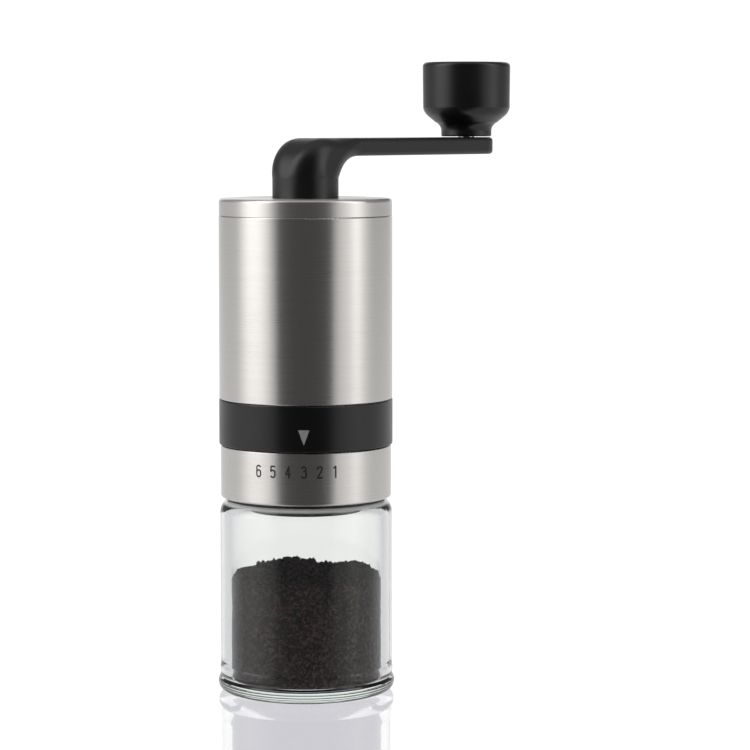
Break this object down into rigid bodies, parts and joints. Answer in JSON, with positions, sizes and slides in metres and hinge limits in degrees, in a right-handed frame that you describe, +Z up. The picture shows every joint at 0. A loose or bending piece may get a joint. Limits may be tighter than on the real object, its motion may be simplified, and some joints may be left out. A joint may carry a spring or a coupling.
{
  "type": "hand crank coffee grinder",
  "caption": "Hand crank coffee grinder: clear glass jar, conical burr mill with a numbered outer dial, steel hopper, lid and a black bent crank with a turning knob.",
  "frame": {"origin": "centre of the jar's base, on the surface that it stands on, on the mill's axis", "axes": "+Z up along the mill's axis, -Y towards the side with the index mark, +X to the right seen from that side"},
  "size_m": [0.1048, 0.121, 0.2196],
  "materials": {
    "jar_glass": "clear, polished",
    "coffee": null,
    "seal_rubber": "matte",
    "brushed_steel": "brushed round the axis",
    "lid_steel": "brushed round the axis on the face",
    "liner_plastic": "satin",
    "body_plastic": "satin",
    "ring_plastic": "fine satin",
    "gloss_plastic": "gloss",
    "knob_plastic": "semi-gloss",
    "crank_paint": "satin black coating on a cast arm",
    "bush_brass": "turned",
    "bright_steel": "machined, bright",
    "burr_ceramic": "matte fired",
    "mark_paint": "matte grey fill",
    "numeral_paint": "matte dark fill"
  },
  "bodies": {
    "jar": {"glass_jar": "jar_glass", "ground_coffee": "coffee"},
    "seal": {"jar_seal": "seal_rubber"},
    "mill": {"hopper_shell": "brushed_steel", "hopper_liner": "liner_plastic", "shaft_bridge": "liner_plastic", "upper_bush": "bush_brass", "lower_bush": "bush_brass", "burr_housing": "body_plastic", "index_ring": "ring_plastic", "index_mark": "mark_paint", "housing_screws": "bright_steel", "click_spring": "bright_steel", "thread_collar": "body_plastic"},
    "dial": {"dial_sleeve": "brushed_steel", "dial_core": "body_plastic", "dial_numerals": "numeral_paint"},
    "ring_burr_carrier": {"burr_carrier": "body_plastic", "ring_burr": "burr_ceramic", "cam_pins": "bright_steel"},
    "drive": {"drive_shaft": "bright_steel", "inner_burr": "burr_ceramic", "burr_washer": "bright_steel", "burr_nut": "bright_steel"},
    "lid": {"lid_cap": "lid_steel", "lid_plug": "gloss_plastic"},
    "crank": {"crank_arm": "crank_paint", "shaft_socket": "bright_steel", "knob_pin": "bright_steel", "knob_clip": "bright_steel"},
    "knob": {"knob": "knob_plastic", "knob_bush": "bush_brass"}
  },
  "joints": [
    {"name": "mill_rise", "type": "slide", "parent": "jar", "child": "seal", "axis": [0, 0, 1], "range_m": [0, 0.0054]},
    {"name": "mill_unscrew", "type": "hinge", "parent": "seal", "child": "mill", "pos_m": [0, 0, 0.0659], "axis": [0, 0, 1], "range_deg": [0, 360]},
    {"name": "dial_turn", "type": "hinge", "parent": "mill", "child": "dial", "pos_m": [0, 0, 0.077], "axis": [0, 0, 1], "range_deg": [-21, 31.5]},
    {"name": "burr_travel", "type": "slide", "parent": "mill", "child": "ring_burr_carrier", "axis": [0, 0, 1], "range_m": [-0.0004, 0.0006]},
    {"name": "crank_turn", "type": "hinge", "parent": "mill", "child": "drive", "pos_m": [0, 0, 0.12], "axis": [0, 0, 1], "continuous": true},
    {"name": "lid_lift", "type": "slide", "parent": "drive", "child": "lid", "axis": [0, 0, 1], "range_m": [0, 0.04]},
    {"name": "crank_lift", "type": "slide", "parent": "lid", "child": "crank", "axis": [0, 0, 1], "range_m": [0, 0.03]},
    {"name": "knob_spin", "type": "hinge", "parent": "crank", "child": "knob", "pos_m": [0.05787, 0.07407, 0.2], "axis": [0, 0, 1], "continuous": true}
  ],
  "couplings": [
    {"joint": "mill_rise", "follows": "mill_unscrew", "m_per_rad": 0.00085944},
    {"joint": "burr_travel", "follows": "dial_turn", "m_per_rad": 0.0010913}
  ]
}
